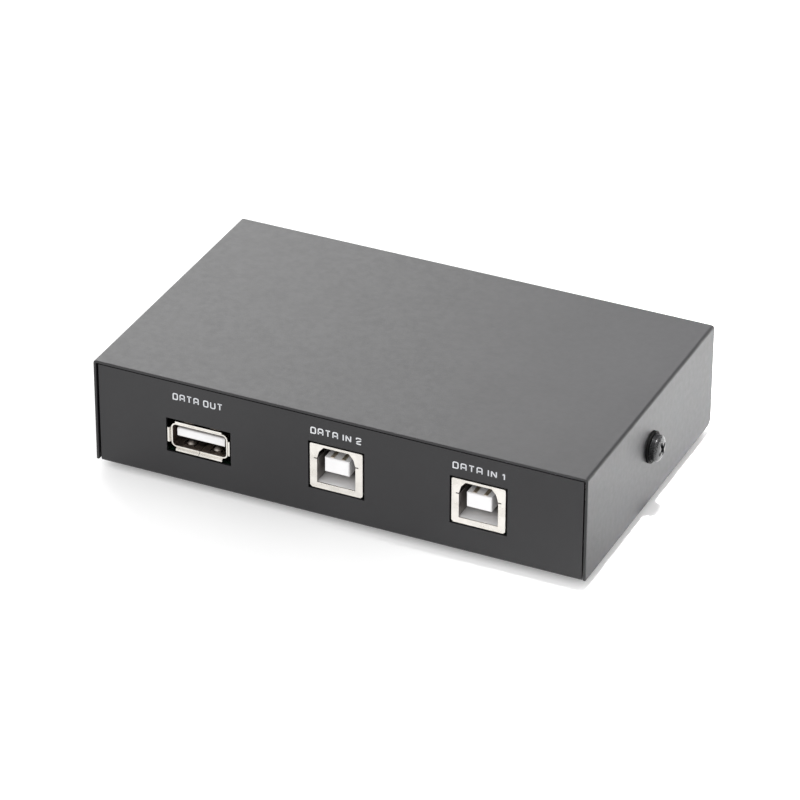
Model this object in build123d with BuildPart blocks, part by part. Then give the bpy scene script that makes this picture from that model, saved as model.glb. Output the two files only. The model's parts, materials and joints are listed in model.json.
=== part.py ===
from build123d import *
import os

# A two-way sharing switch: a folded steel case with one data outlet and two data
# inlets on the port panel (-Y), and a push-on push-off selector on the button panel (+Y).
# Millimetres, +Z up. The origin is on the table, under the middle of the whole object.

# ------------------------------------------------------------------ driving dimensions
# folded case
case_width = 112.0
case_depth = 68.8
case_height = 24.5       # from the chassis's underside to the cover's top
sheet = 0.6
inside_bend = 0.1
fold_gap = 0.38          # between the cover and the chassis panels
cover_lift = 0.5         # the cover's lower edges end this far above the underside
panel_recess = 0.35      # how far the panels sit inside the cover's cut edges
heel_cut = 1.0           # corner cut at the lower rear of the cover's sides
edge_break = 0.15        # deburred cut edges

# rubber feet
foot_diameter = 8.0
foot_height = 1.6
foot_inset = 11.0        # from the case's edges to a foot's middle
foot_taper = 8.0         # degrees
foot_edge = 0.48

# screws that hold the cover, one in each side
screw_height = 13.4      # above the underside of the case
screw_radius = 1.48
screw_length = 4.8
screw_tip = 0.4
screw_hole_gap = 0.25
screw_head_diameter = 5.8
screw_head_height = 2.0
screw_head_round = 1.2
washer_diameter = 7.0
washer_thickness = 0.5
recess_span = 3.3
recess_width = 0.75
recess_depth = 1.1
recess_taper = 9.0       # degrees
tab_width = 13.0
tab_height = 17.5
nut_diameter = 6.2
nut_length = 2.0
nut_neck_radius = 2.1
press_gap = 0.02         # round necks and shanks, on the radius

# circuit board and its standoffs
board_thickness = 1.6
board_side_gap = 1.5     # from the board's edge to the cover screws' tabs
board_front_gap = 0.6    # from the board's edge to the port panel
board_rear_gap = 6.0
board_corner = 1.0
standoff_height = 4.45
standoff_across = 5.0
spigot_radius = 1.8
board_screw_length = 4.4
board_screw_head_diameter = 5.2
board_screw_head_height = 1.8
board_screw_head_round = 1.05
board_screw_tip_room = 0.5
board_screw_inset = 5.0  # from the board's side edge
board_hole_radius = 1.6

# ports, all flush with the outside of the port panel
port_pitch = 32.0        # between the inlets
outlet_offset = 31.8     # from the middle inlet to the outlet
port_cutout_gap = 0.4
pin_stub = 1.0           # how far pins and legs pass the board
pin_hole_radius = 0.65
leg_hole_length = 2.2
leg_hole_width = 1.0

a_shell_width = 13.1     # outlet: flat receptacle
a_shell_height = 5.72
a_shell_corner = 1.15
a_shell_depth = 14.0
a_sheet = 0.3
a_axis_height = 3.95     # above the board
a_flare_width = 14.5
a_flare_height = 7.1
a_flare_depth = 0.55
a_flare_edge = 0.38      # width of a lip's front
a_flare_root = 0.35      # thickness of a lip where it leaves the shell
a_mouth_depth = 0.4      # the shell's own edge stands back from the lips
a_cutout_width = 15.0
a_cutout_height = 8.1
a_tongue_width = 11.1
a_tongue_thickness = 2.0
a_tongue_recess = 1.2
a_tongue_bottom = -0.6   # above the outlet's axis
a_block_start = 9.5      # depth of the insulator's back block
a_foot_start = 10.0
a_foot_width = 9.4
a_finger_offset = 3.08
a_finger_start = 1.7
a_finger_length = 6.0
a_finger_width = 2.2
a_slot = 0.25
a_dimple_depth = 2.8
a_dimple_radius = 0.95
a_dimple_sink = 0.4      # how far the dimple's centre lies outside the wall's inner face
a_seam = 0.1
a_pin_depth = 11.5
a_leg_depth = 9.0
a_contact_pitches = (-3.5, -1.0, 1.0, 3.5)

b_shell_width = 12.0     # inlets: square receptacle
b_shell_height = 10.5
b_shell_depth = 16.2
b_sheet = 0.35
b_opening_width = 8.7
b_opening_bottom = 1.35  # above the board
b_opening_height = 8.57
b_opening_shoulder = 5.8  # height of the opening's straight sides
b_opening_slope = 1.47   # how far the slanted top corners come in
b_slope_knee_in = 0.47   # a corner half way up makes the slant look round
b_slope_knee_up = 1.63   # above the straight sides
b_corner_cut = 0.45
b_tongue_width = 5.6
b_tongue_thickness = 3.45
b_tongue_bottom = 4.15   # above the board
b_tongue_recess = 0.35
b_cavity_depth = 9.4
b_back_gap = 2.0         # the back flap stops this far above the board
b_slit = 0.25
b_slit_length = 0.7
b_cheek_depth = 7.5
b_upper_pin_depth = 13.2
b_lower_pin_depth = 10.7
b_leg_depth = 7.0
cheek_gap = 0.15
b_contact_pitches = (-1.25, 1.25)

fit_gap = 0.03           # between pieces pushed into each other
contact_width = 0.8
contact_sheet = 0.3
contact_proud = 0.1
contact_setback = 0.5    # from the tongue's tip to a contact's end
tongue_edge = 0.2
leg_width = 1.4
leg_shoulder = 2.4

# selector switch and its button
button_out = 5.6         # how far the button stands out past the cover
button_size = 10.0
button_corner = 1.2
button_length = 12.0
button_travel = 2.5
button_hole_gap = 0.4
flange_size = 12.0
flange_thickness = 1.0
flange_gap = 0.35
dish_radius = 42.0
dish_depth = 0.3
button_edge = 0.5
socket_depth = 6.0
socket_clearance = 0.02
housing_length = 18.0
housing_half = 5.6
housing_wall = 1.4
housing_edge = 0.5
switch_axis_height = 6.0  # above the board
frame_sheet = 0.6
frame_arm = 8.0
cap_clearance = 0.9      # left between the pressed button and the switch
slide_clearance = 0.1
plunger_gap = 0.05       # between the plunger's shoulder and the frame
neck_size = 5.0
stop_gap = 0.1
spring_bore_radius = 2.8
spring_bore_depth = 6.0
spring_radius = 2.2
spring_wire = 0.5
spring_pitch = 1.2
terminal_width = 1.0
terminal_thickness = 0.4
terminal_over_clip = 0.3
clip_height = 2.0
clip_thickness = 0.5
clip_corner = 0.4
latch_wire = 0.7
latch_groove_width = 2.4
latch_groove_depth = 0.8
latch_tip_depth = 4.5     # from the housing's open end
latch_heel_depth = 11.5
latch_heel_sunk = 1.0     # into the housing's roof
latch_tip_lift = 0.2      # the tip clears the groove's floor
latch_slot_length = 3.2
latch_slot_gap = 0.2

# ------------------------------------------------------------------ places worked out
case_y = -button_out / 2
floor_z = foot_height
cover_bottom_z = floor_z + cover_lift
cover_height = case_height - cover_lift
front_y = case_y - case_depth / 2 + panel_recess
rear_y = case_y + case_depth / 2 - panel_recess
bend_radius = sheet + inside_bend
cover_inside_x = case_width / 2 - sheet
cover_inside_z = floor_z + case_height - sheet
panel_top_z = cover_inside_z - fold_gap
chassis_half_width = cover_inside_x - fold_gap
screw_z = floor_z + screw_height

board_bottom_z = floor_z + sheet + standoff_height
board_top_z = board_bottom_z + board_thickness
board_half_width = cover_inside_x - sheet - board_side_gap
board_front_y = front_y + sheet + board_front_gap
board_rear_y = rear_y - sheet - board_rear_gap
board_middle_y = (board_front_y + board_rear_y) / 2
board_depth = board_rear_y - board_front_y
board_screw_x = board_half_width - board_screw_inset
front_screw_y = front_y + b_shell_depth + board_screw_head_diameter
rear_screw_y = board_rear_y - board_screw_inset
screw_places = [
    (x, y) for y in (front_screw_y, rear_screw_y) for x in (-board_screw_x, board_screw_x)
]

a_x = -outlet_offset
a_z = board_top_z + a_axis_height
a_leg_x = a_shell_width / 2 - a_sheet / 2
b_inlets = {"1": port_pitch, "2": 0.0}
b_leg_x = b_shell_width / 2 - b_sheet / 2

switch_z = board_top_z + switch_axis_height
button_front_y = case_y + case_depth / 2 + button_out
cap_rear_y = button_front_y - button_length
frame_y = cap_rear_y - button_travel - cap_clearance
housing_front_y = frame_y - frame_sheet
housing_rear_y = housing_front_y - housing_length
cavity_half = housing_half - housing_wall
cavity_rear_y = housing_rear_y + housing_wall
plunger_half = cavity_half - slide_clearance
plunger_rear_y = cavity_rear_y + button_travel + stop_gap
plunger_front_y = housing_front_y - plunger_gap
spring_front_y = plunger_rear_y + spring_bore_depth
contact_middle_y = plunger_rear_y + spring_bore_depth
terminal_places = [
    (side * (cavity_half + terminal_thickness / 2), contact_middle_y + step * button_travel)
    for side in (-1, 1) for step in (-1, 0, 1)
]
latch_tip_y = housing_front_y - latch_tip_depth
latch_heel_y = housing_front_y - latch_heel_depth
terminal_top_z = switch_z + clip_height / 2 + terminal_over_clip
roof_z = switch_z + housing_half

near = 0.01              # half the band in which a picked corner must lie

os.makedirs("parts", exist_ok=True)


# ------------------------------------------------------------------ folded case
with BuildPart() as top_cover:
    # a sheet folded down at both sides: an upside-down U seen from the port panel
    with BuildSketch(Plane.XZ.offset(-case_y)) as cover_fold:
        with Locations((0, cover_bottom_z + cover_height / 2)):
            Rectangle(case_width, cover_height)
        fillet(cover_fold.vertices().group_by(Axis.Y)[-1], bend_radius)
        with Locations((0, cover_bottom_z + cover_height / 2 - sheet)):
            Rectangle(2 * cover_inside_x, cover_height, mode=Mode.SUBTRACT)
        inner_corners = cover_fold.vertices().filter_by_position(
            Axis.Y, cover_inside_z - near, cover_inside_z + near
        )
        fillet(inner_corners, inside_bend)
    extrude(amount=case_depth / 2, both=True)
    heels = top_cover.edges().filter_by(Axis.X).group_by(Axis.Z)[0].group_by(Axis.Y)[-1]
    chamfer(heels, heel_cut)
    above_heels_z = cover_bottom_z + 2 * heel_cut
    for face in (top_cover.faces().sort_by(Axis.Y)[0], top_cover.faces().sort_by(Axis.Y)[-1]):
        rim = face.edges().filter_by(lambda e: e.center().Z > above_heels_z)
        fillet(rim, edge_break)
    with BuildSketch(Plane.YZ):
        with Locations((case_y, screw_z)):
            Circle(screw_radius + screw_hole_gap)
    extrude(amount=case_width, both=True, mode=Mode.SUBTRACT)
top_cover.part.label = "top_cover"
export_step(top_cover.part, "parts/top_cover.step")

with BuildPart() as chassis:
    # floor, port panel and button panel: a U seen from the side
    panel_height = panel_top_z - floor_z
    panel_span = rear_y - front_y
    with BuildSketch(Plane.YZ) as chassis_fold:
        with Locations((case_y, floor_z + panel_height / 2)):
            Rectangle(panel_span, panel_height)
        fillet(chassis_fold.vertices().group_by(Axis.Y)[0], bend_radius)
        with Locations((case_y, floor_z + panel_height / 2 + sheet)):
            Rectangle(panel_span - 2 * sheet, panel_height, mode=Mode.SUBTRACT)
        inner_corners = chassis_fold.vertices().filter_by_position(
            Axis.Y, floor_z + sheet - near, floor_z + sheet + near
        )
        fillet(inner_corners, inside_bend)
    extrude(amount=chassis_half_width, both=True)
    # a tab at each side carries the cover screw's press nut
    for side in (-1, 1):
        with BuildSketch(Plane.XZ.offset(-case_y)) as tab_fold:
            with Locations((side * (cover_inside_x - sheet / 2), floor_z + tab_height / 2)):
                Rectangle(sheet, tab_height)
            with Locations((side * (cover_inside_x - 2 * sheet), floor_z + sheet / 2)):
                Rectangle(4 * sheet, sheet)
            outer_corner = tab_fold.vertices().sort_by(Axis((0, 0, 0), (side, -0.5, 0)))[-1]
            fillet(outer_corner, bend_radius)
        extrude(amount=tab_width / 2, both=True)
    with BuildSketch(Plane.YZ):
        with Locations((case_y, screw_z)):
            Circle(nut_neck_radius + press_gap)
    extrude(amount=case_width, both=True, mode=Mode.SUBTRACT)
    # port cut-outs
    with BuildSketch(Plane.XZ.offset(-front_y)):
        with Locations((a_x, a_z)):
            Rectangle(a_cutout_width, a_cutout_height)
        for inlet_x in b_inlets.values():
            with Locations((inlet_x, board_top_z + b_shell_height / 2)):
                Rectangle(
                    b_shell_width + 2 * port_cutout_gap, b_shell_height + 2 * port_cutout_gap
                )
    extrude(amount=-2 * sheet, both=True, mode=Mode.SUBTRACT)
    # button hole
    with BuildSketch(Plane.XZ.offset(-rear_y)):
        with Locations((0, switch_z)):
            RectangleRounded(
                button_size + 2 * button_hole_gap,
                button_size + 2 * button_hole_gap,
                button_corner + button_hole_gap,
            )
    extrude(amount=2 * sheet, both=True, mode=Mode.SUBTRACT)
    # standoff holes in the floor
    with BuildSketch(Plane.XY.offset(floor_z)):
        with Locations(*screw_places):
            Circle(spigot_radius + press_gap)
    extrude(amount=2 * sheet, both=True, mode=Mode.SUBTRACT)
chassis.part.label = "chassis"
export_step(chassis.part, "parts/chassis.step")

for foot_end, foot_y in (("front", -1), ("rear", 1)):
    for foot_side, foot_x in (("left", -1), ("right", 1)):
        with BuildPart() as foot:
            with BuildSketch(Plane.XY.offset(floor_z)):
                with Locations((
                    foot_x * (case_width / 2 - foot_inset),
                    case_y + foot_y * (case_depth / 2 - foot_inset),
                )):
                    Circle(foot_diameter / 2)
            extrude(amount=-foot_height, taper=foot_taper)
            fillet(foot.edges().group_by(Axis.Z)[0], foot_edge)
        foot.part.label = f"foot_{foot_end}_{foot_side}"
        export_step(foot.part, f"parts/foot_{foot_end}_{foot_side}.step")


# ------------------------------------------------------------------ screws, washers, nuts
def pan_head_screw(seat, head_diameter, head_height, head_round, shank_length):
    """A cross-recess screw: its head stands on the seat plane and its shank points into it."""
    along = Axis(seat.origin, seat.z_dir)
    with BuildPart() as screw:
        with BuildSketch(seat):
            Circle(head_diameter / 2)
        extrude(amount=head_height)
        fillet(screw.edges().sort_by(along)[-1], head_round)
        with BuildSketch(seat):
            Circle(screw_radius)
        extrude(amount=-shank_length)
        chamfer(screw.edges().sort_by(along)[0], screw_tip)
        with BuildSketch(seat.offset(head_height)):
            Rectangle(recess_span, recess_width)
            Rectangle(recess_width, recess_span)
        extrude(amount=-recess_depth, taper=recess_taper, mode=Mode.SUBTRACT)
    return screw


for side_name, side in (("left", -1), ("right", 1)):
    wall = Plane(origin=(side * case_width / 2, case_y, screw_z), x_dir=(0, 1, 0), z_dir=(side, 0, 0))

    with BuildPart() as cover_washer:
        with BuildSketch(wall):
            Circle(washer_diameter / 2)
            Circle(screw_radius + screw_hole_gap, mode=Mode.SUBTRACT)
        extrude(amount=washer_thickness)
        fillet(cover_washer.edges().sort_by(Axis(wall.origin, wall.z_dir))[-1], edge_break)
    cover_washer.part.label = f"cover_washer_{side_name}"
    export_step(cover_washer.part, f"parts/cover_washer_{side_name}.step")

    cover_screw = pan_head_screw(
        wall.offset(washer_thickness),
        screw_head_diameter,
        screw_head_height,
        screw_head_round,
        screw_length,
    )
    cover_screw.part.label = f"cover_screw_{side_name}"
    export_step(cover_screw.part, f"parts/cover_screw_{side_name}.step")

    with BuildPart() as tab_nut:
        with BuildSketch(wall.offset(-2 * sheet)):
            RegularPolygon(nut_diameter / 2, 6)
        extrude(amount=-nut_length)
        with BuildSketch(wall.offset(-2 * sheet)):
            Circle(nut_neck_radius)
        extrude(amount=sheet - fit_gap)
        with BuildSketch(wall):
            Circle(screw_radius + press_gap)
        extrude(amount=-screw_length, mode=Mode.SUBTRACT)
    tab_nut.part.label = f"tab_nut_{side_name}"
    export_step(tab_nut.part, f"parts/tab_nut_{side_name}.step")

for number, (x, y) in enumerate(screw_places, start=1):
    with BuildPart() as board_standoff:
        with BuildSketch(Plane.XY.offset(floor_z + sheet)):
            with Locations((x, y)):
                RegularPolygon(standoff_across / 2, 6, major_radius=False)
        extrude(amount=standoff_height)
        with BuildSketch(Plane.XY.offset(floor_z + sheet)):
            with Locations((x, y)):
                Circle(spigot_radius)
        extrude(amount=-sheet)
        with BuildSketch(Plane.XY.offset(board_bottom_z)):
            with Locations((x, y)):
                Circle(screw_radius + press_gap)
        thread_depth = board_screw_length - board_thickness + board_screw_tip_room
        extrude(amount=-thread_depth, mode=Mode.SUBTRACT)
    board_standoff.part.label = f"board_standoff_{number}"
    export_step(board_standoff.part, f"parts/board_standoff_{number}.step")

    board_screw = pan_head_screw(
        Plane(origin=(x, y, board_top_z)),
        board_screw_head_diameter,
        board_screw_head_height,
        board_screw_head_round,
        board_screw_length,
    )
    board_screw.part.label = f"board_screw_{number}"
    export_step(board_screw.part, f"parts/board_screw_{number}.step")


# ------------------------------------------------------------------ circuit board
a_leg_places = [(a_x + side * a_leg_x, front_y + a_leg_depth) for side in (-1, 1)]
a_pin_places = [(a_x + x, front_y + a_pin_depth) for x in a_contact_pitches]
b_leg_places = [
    (x + side * b_leg_x, front_y + b_leg_depth) for x in b_inlets.values() for side in (-1, 1)
]
b_pin_places = [
    (x + offset_x, front_y + depth)
    for x in b_inlets.values()
    for offset_x in b_contact_pitches
    for depth in (b_upper_pin_depth, b_lower_pin_depth)
]
frame_leg_y = housing_front_y - frame_arm / 2
frame_leg_places = [(side * (housing_half + frame_sheet / 2), frame_leg_y) for side in (-1, 1)]

with BuildPart() as circuit_board:
    with BuildSketch(Plane.XY.offset(board_bottom_z)):
        with Locations((0, board_middle_y)):
            RectangleRounded(2 * board_half_width, board_depth, board_corner)
        with Locations(*screw_places):
            Circle(board_hole_radius, mode=Mode.SUBTRACT)
        with Locations(*a_pin_places, *b_pin_places, *terminal_places):
            Circle(pin_hole_radius, mode=Mode.SUBTRACT)
        with Locations(*a_leg_places, *b_leg_places, *frame_leg_places):
            SlotOverall(leg_hole_length, leg_hole_width, rotation=90, mode=Mode.SUBTRACT)
    extrude(amount=board_thickness)
circuit_board.part.label = "circuit_board"
export_step(circuit_board.part, "parts/circuit_board.step")


# ------------------------------------------------------------------ outlet, flat receptacle
a_face = Plane(origin=(a_x, front_y, a_z), x_dir=(1, 0, 0), z_dir=(0, -1, 0))


with BuildPart() as outlet_shell:
    with BuildSketch(a_face.offset(-a_mouth_depth)):
        RectangleRounded(a_shell_width, a_shell_height, a_shell_corner)
    extrude(amount=-(a_shell_depth - a_mouth_depth))
    with BuildSketch(a_face):
        RectangleRounded(
            a_shell_width - 2 * a_sheet, a_shell_height - 2 * a_sheet, a_shell_corner - a_sheet
        )
    extrude(amount=-(a_shell_depth - a_sheet), mode=Mode.SUBTRACT)
    # four flared lips, each drawn as depth against height and turned round the port's axis
    for turn, across, half_height, half_flare in (
        (0, a_shell_width - 2 * a_shell_corner, a_shell_height / 2, a_flare_height / 2),
        (90, a_shell_height - 2 * a_shell_corner, a_shell_width / 2, a_flare_width / 2),
        (180, a_shell_width - 2 * a_shell_corner, a_shell_height / 2, a_flare_height / 2),
        (270, a_shell_height - 2 * a_shell_corner, a_shell_width / 2, a_flare_width / 2),
    ):
        sideways = Vector(1, 0, 0).rotate(Axis.Y, turn)
        with BuildSketch(Plane(a_face.origin, x_dir=(0, 1, 0), z_dir=sideways)):
            with BuildLine():
                Polyline(
                    (a_flare_depth, half_height - a_sheet / 2),
                    (a_flare_depth, half_height),
                    (0, half_flare - a_flare_edge),
                    (0, half_flare),
                    (a_flare_depth + a_flare_root, half_height),
                    (a_flare_depth + a_flare_root, half_height - a_sheet / 2),
                    close=True,
                )
            make_face()
        extrude(amount=across / 2, both=True)
    # spring fingers: a slot round each, with a dimple that presses on the plug
    for wall_side in (-1, 1):
        inside_z = a_z + wall_side * (a_shell_height / 2 - a_sheet)
        for finger_x in (a_x - a_finger_offset, a_x + a_finger_offset):
            with BuildSketch(Plane.XY.offset(inside_z - wall_side * a_sheet)):
                finger_middle_y = front_y + a_finger_start + a_finger_length / 2
                with Locations((finger_x, finger_middle_y)):
                    Rectangle(a_finger_width + 2 * a_slot, a_finger_length + a_slot)
                with Locations((finger_x, finger_middle_y + a_slot)):
                    Rectangle(a_finger_width, a_finger_length + a_slot, mode=Mode.SUBTRACT)
            extrude(amount=wall_side * 3 * a_sheet, mode=Mode.SUBTRACT)
            dimple_centre = (finger_x, front_y + a_dimple_depth, inside_z + wall_side * a_dimple_sink)
            with Locations(dimple_centre):
                Sphere(a_dimple_radius)
    # the shell's folded seam runs along its floor
    with BuildSketch(Plane.XY.offset(a_z - a_flare_height)):
        with Locations((a_x, front_y + a_shell_depth / 2 - a_sheet)):
            Rectangle(a_seam, a_shell_depth)
    extrude(amount=a_flare_height - a_shell_height / 2 + 2 * a_sheet, mode=Mode.SUBTRACT)
    # window in the floor for the insulator's foot
    with BuildSketch(Plane.XY.offset(a_z - a_shell_height)):
        with Locations((a_x, front_y + (a_foot_start + a_shell_depth) / 2)):
            Rectangle(a_foot_width, a_shell_depth - a_foot_start)
    extrude(amount=a_shell_height / 2 + 2 * a_sheet, mode=Mode.SUBTRACT)
    # board legs with shoulders
    for leg_x, leg_y in a_leg_places:
        with BuildSketch(Plane.YZ.offset(leg_x)):
            with Locations((leg_y, (a_z + board_top_z) / 2)):
                Rectangle(leg_shoulder, a_z - board_top_z)
            with Locations((leg_y, (board_top_z + board_bottom_z - pin_stub) / 2)):
                Rectangle(leg_width, board_thickness + pin_stub)
        extrude(amount=a_sheet / 2, both=True)
outlet_shell.part.label = "outlet_shell"
export_step(outlet_shell.part, "parts/outlet_shell.step")

with BuildPart() as outlet_contacts:
    a_contact_z = a_z + a_tongue_bottom
    a_contact_bottom_z = board_bottom_z - pin_stub
    a_contact_under_z = a_contact_z - contact_proud
    a_contact_over_z = a_contact_under_z + contact_sheet
    a_contact_start_y = front_y + a_tongue_recess + contact_setback
    a_pin_front_y = front_y + a_pin_depth - contact_sheet / 2
    a_pin_back_y = front_y + a_pin_depth + contact_sheet / 2
    for contact_x in a_contact_pitches:
        with BuildSketch(Plane.YZ.offset(a_x + contact_x)):
            with BuildLine():
                Polyline(
                    (a_contact_start_y, a_contact_under_z),
                    (a_pin_front_y, a_contact_under_z),
                    (a_pin_front_y, a_contact_bottom_z),
                    (a_pin_back_y, a_contact_bottom_z),
                    (a_pin_back_y, a_contact_over_z),
                    (a_contact_start_y, a_contact_over_z),
                    close=True,
                )
            make_face()
        extrude(amount=contact_width / 2, both=True)
outlet_contacts.part.label = "outlet_contacts"
export_step(outlet_contacts.part, "parts/outlet_contacts.step")

with BuildPart() as outlet_insulator:
    # tongue, back block and the foot that stands on the board
    with BuildSketch(a_face.offset(-a_tongue_recess)):
        with Locations((0, a_tongue_bottom + a_tongue_thickness / 2)):
            Rectangle(a_tongue_width, a_tongue_thickness)
    extrude(amount=-(a_block_start - a_tongue_recess))
    chamfer(outlet_insulator.edges().filter_by(Axis.X).group_by(Axis.Y)[0], tongue_edge)
    with BuildSketch(a_face.offset(-a_block_start)):
        Rectangle(
            a_shell_width - 2 * a_sheet - 2 * fit_gap, a_shell_height - 2 * a_sheet - 2 * fit_gap
        )
    extrude(amount=-(a_shell_depth - a_sheet - fit_gap - a_block_start))
    block_edges = outlet_insulator.edges().filter_by(Axis.Y)
    block_edges = block_edges.filter_by(lambda e: e.center().Y > front_y + a_block_start)
    fillet(block_edges, a_shell_corner - a_sheet)
    foot_end_y = front_y + a_shell_depth - a_sheet - fit_gap
    with BuildSketch(Plane.XY.offset(board_top_z)):
        with Locations((a_x, (front_y + a_foot_start + fit_gap + foot_end_y) / 2)):
            Rectangle(a_foot_width - 2 * fit_gap, foot_end_y - (front_y + a_foot_start + fit_gap))
    extrude(amount=a_axis_height)
    add(outlet_contacts.part, mode=Mode.SUBTRACT)
outlet_insulator.part.label = "outlet_insulator"
export_step(outlet_insulator.part, "parts/outlet_insulator.step")


# ------------------------------------------------------------------ inlets, square receptacles
for inlet, b_x in b_inlets.items():
    b_face = Plane(origin=(b_x, front_y, board_top_z), x_dir=(1, 0, 0), z_dir=(0, -1, 0))

    with BuildPart() as inlet_shell:
        # folded box: front plate, two sides, roof and a short back flap, open underneath
        with BuildSketch(b_face):
            with Locations((0, b_shell_height / 2)):
                Rectangle(b_shell_width, b_shell_height)
        extrude(amount=-b_shell_depth)
        fillet(inlet_shell.edges().filter_by(Axis.Y).group_by(Axis.Z)[-1], b_sheet)
        with BuildSketch(b_face.offset(-b_sheet)):
            with Locations((0, b_shell_height / 2 - b_sheet)):
                Rectangle(b_shell_width - 2 * b_sheet, b_shell_height)
        extrude(amount=-(b_shell_depth - 2 * b_sheet), mode=Mode.SUBTRACT)
        with BuildSketch(b_face.offset(-(b_shell_depth - 2 * b_sheet))):
            Rectangle(2 * b_shell_width, 2 * b_back_gap)
        extrude(amount=-2 * b_shell_depth, mode=Mode.SUBTRACT)
        # lower corners of the front plate are cut off
        with BuildSketch(b_face):
            for side in (-1, 1):
                with BuildLine():
                    Polyline(
                        (side * b_shell_width / 2, 0),
                        (side * (b_shell_width / 2 - b_corner_cut), 0),
                        (side * b_shell_width / 2, b_corner_cut),
                        close=True,
                    )
                make_face()
        extrude(amount=-3 * b_corner_cut, mode=Mode.SUBTRACT)
        # the mouth, with slanted top corners, and a relief slit above each cheek
        mouth_top = b_opening_bottom + b_opening_height
        shoulder = b_opening_bottom + b_opening_shoulder
        with BuildSketch(b_face):
            with BuildLine():
                Polyline(
                    (-b_opening_width / 2, b_opening_bottom),
                    (b_opening_width / 2, b_opening_bottom),
                    (b_opening_width / 2, shoulder),
                    (b_opening_width / 2 - b_slope_knee_in, shoulder + b_slope_knee_up),
                    (b_opening_width / 2 - b_opening_slope, mouth_top),
                    (-b_opening_width / 2 + b_opening_slope, mouth_top),
                    (-b_opening_width / 2 + b_slope_knee_in, shoulder + b_slope_knee_up),
                    (-b_opening_width / 2, shoulder),
                    close=True,
                )
            make_face()
            for side in (-1, 1):
                with Locations((side * b_opening_width / 2, shoulder - b_slit / 2)):
                    Rectangle(2 * b_slit_length, b_slit)
        extrude(amount=-b_sheet, mode=Mode.SUBTRACT)
        # cheeks folded in from the mouth's sides
        for side in (-1, 1):
            with BuildSketch(b_face):
                with Locations((
                    side * (b_opening_width / 2 + b_sheet / 2),
                    (b_opening_bottom + cheek_gap + shoulder - b_slit) / 2,
                )):
                    Rectangle(b_sheet, shoulder - b_slit - b_opening_bottom - cheek_gap)
            extrude(amount=-b_cheek_depth)
        # board legs
        for side in (-1, 1):
            with BuildSketch(Plane.YZ.offset(b_x + side * b_leg_x)):
                with Locations((front_y + b_leg_depth, (board_top_z + board_bottom_z - pin_stub) / 2)):
                    Rectangle(leg_width, board_thickness + pin_stub)
            extrude(amount=b_sheet / 2, both=True)
    inlet_shell.part.label = f"inlet_shell_{inlet}"
    export_step(inlet_shell.part, f"parts/inlet_shell_{inlet}.step")

    with BuildPart() as inlet_contacts:
        # two contacts along the top of the tongue and two along its underside
        for contact_x in b_contact_pitches:
            for surface, outward, pin_depth in (
                (b_tongue_bottom + b_tongue_thickness, 1, b_upper_pin_depth),
                (b_tongue_bottom, -1, b_lower_pin_depth),
            ):
                outside = board_top_z + surface + outward * contact_proud
                inside = outside - outward * contact_sheet
                start_y = front_y + b_tongue_recess + contact_setback
                pin_y = front_y + pin_depth
                with BuildSketch(Plane.YZ.offset(b_x + contact_x)):
                    with Locations(((start_y + pin_y + contact_sheet / 2) / 2, (outside + inside) / 2)):
                        Rectangle(pin_y + contact_sheet / 2 - start_y, contact_sheet)
                    pin_top = max(outside, inside)
                    pin_bottom = board_bottom_z - pin_stub
                    with Locations((pin_y, (pin_top + pin_bottom) / 2)):
                        Rectangle(contact_sheet, pin_top - pin_bottom)
                extrude(amount=contact_width / 2, both=True)
    inlet_contacts.part.label = f"inlet_contacts_{inlet}"
    export_step(inlet_contacts.part, f"parts/inlet_contacts_{inlet}.step")

    with BuildPart() as inlet_insulator:
        # floor, back block and the tongue block that stands out of it
        inner_half = b_shell_width / 2 - b_sheet - fit_gap
        back_depth = b_shell_depth - b_sheet - fit_gap
        with BuildSketch(Plane.YZ.offset(b_x)):
            with BuildLine():
                Polyline(
                    (front_y + b_sheet + fit_gap, board_top_z),
                    (front_y + back_depth, board_top_z),
                    (front_y + back_depth, board_top_z + b_shell_height - b_sheet - fit_gap),
                    (front_y + b_cavity_depth, board_top_z + b_shell_height - b_sheet - fit_gap),
                    (front_y + b_cavity_depth, board_top_z + b_opening_bottom + fit_gap),
                    (front_y + b_sheet + fit_gap, board_top_z + b_opening_bottom + fit_gap),
                    close=True,
                )
            make_face()
        extrude(amount=inner_half, both=True)
        with BuildSketch(b_face.offset(-b_tongue_recess)):
            with Locations((0, b_tongue_bottom + b_tongue_thickness / 2)):
                Rectangle(b_tongue_width, b_tongue_thickness)
        extrude(amount=-(b_cavity_depth - b_tongue_recess))
        tongue_rim = inlet_insulator.faces().sort_by(Axis.Y)[0].edges()
        chamfer(tongue_rim, tongue_edge)
        add(inlet_contacts.part, mode=Mode.SUBTRACT)
    inlet_insulator.part.label = f"inlet_insulator_{inlet}"
    export_step(inlet_insulator.part, f"parts/inlet_insulator_{inlet}.step")


# ------------------------------------------------------------------ selector switch
with BuildPart() as switch_terminals:
    for terminal_x, terminal_y in terminal_places:
        with BuildSketch(Plane.XY.offset(board_bottom_z - pin_stub)):
            with Locations((terminal_x, terminal_y)):
                Rectangle(terminal_thickness, terminal_width)
        extrude(amount=terminal_top_z - (board_bottom_z - pin_stub))
switch_terminals.part.label = "switch_terminals"
export_step(switch_terminals.part, "parts/switch_terminals.step")

with BuildPart() as latch_pin:
    # a wire staple on the switch's roof: one end is fixed, the other rides in the plunger's groove
    latch_top_z = roof_z + latch_wire / 2
    with BuildLine() as latch_path:
        FilletPolyline(
            (0, latch_heel_y, roof_z - latch_heel_sunk),
            (0, latch_heel_y, latch_top_z),
            (0, latch_tip_y, latch_top_z),
            (0, latch_tip_y, switch_z + plunger_half - latch_groove_depth + latch_tip_lift),
            radius=latch_wire,
        )
    with BuildSketch(Plane(latch_path.line @ 0, z_dir=latch_path.line % 0)):
        Circle(latch_wire / 2)
    sweep()
latch_pin.part.label = "latch_pin"
export_step(latch_pin.part, "parts/latch_pin.step")

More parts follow.
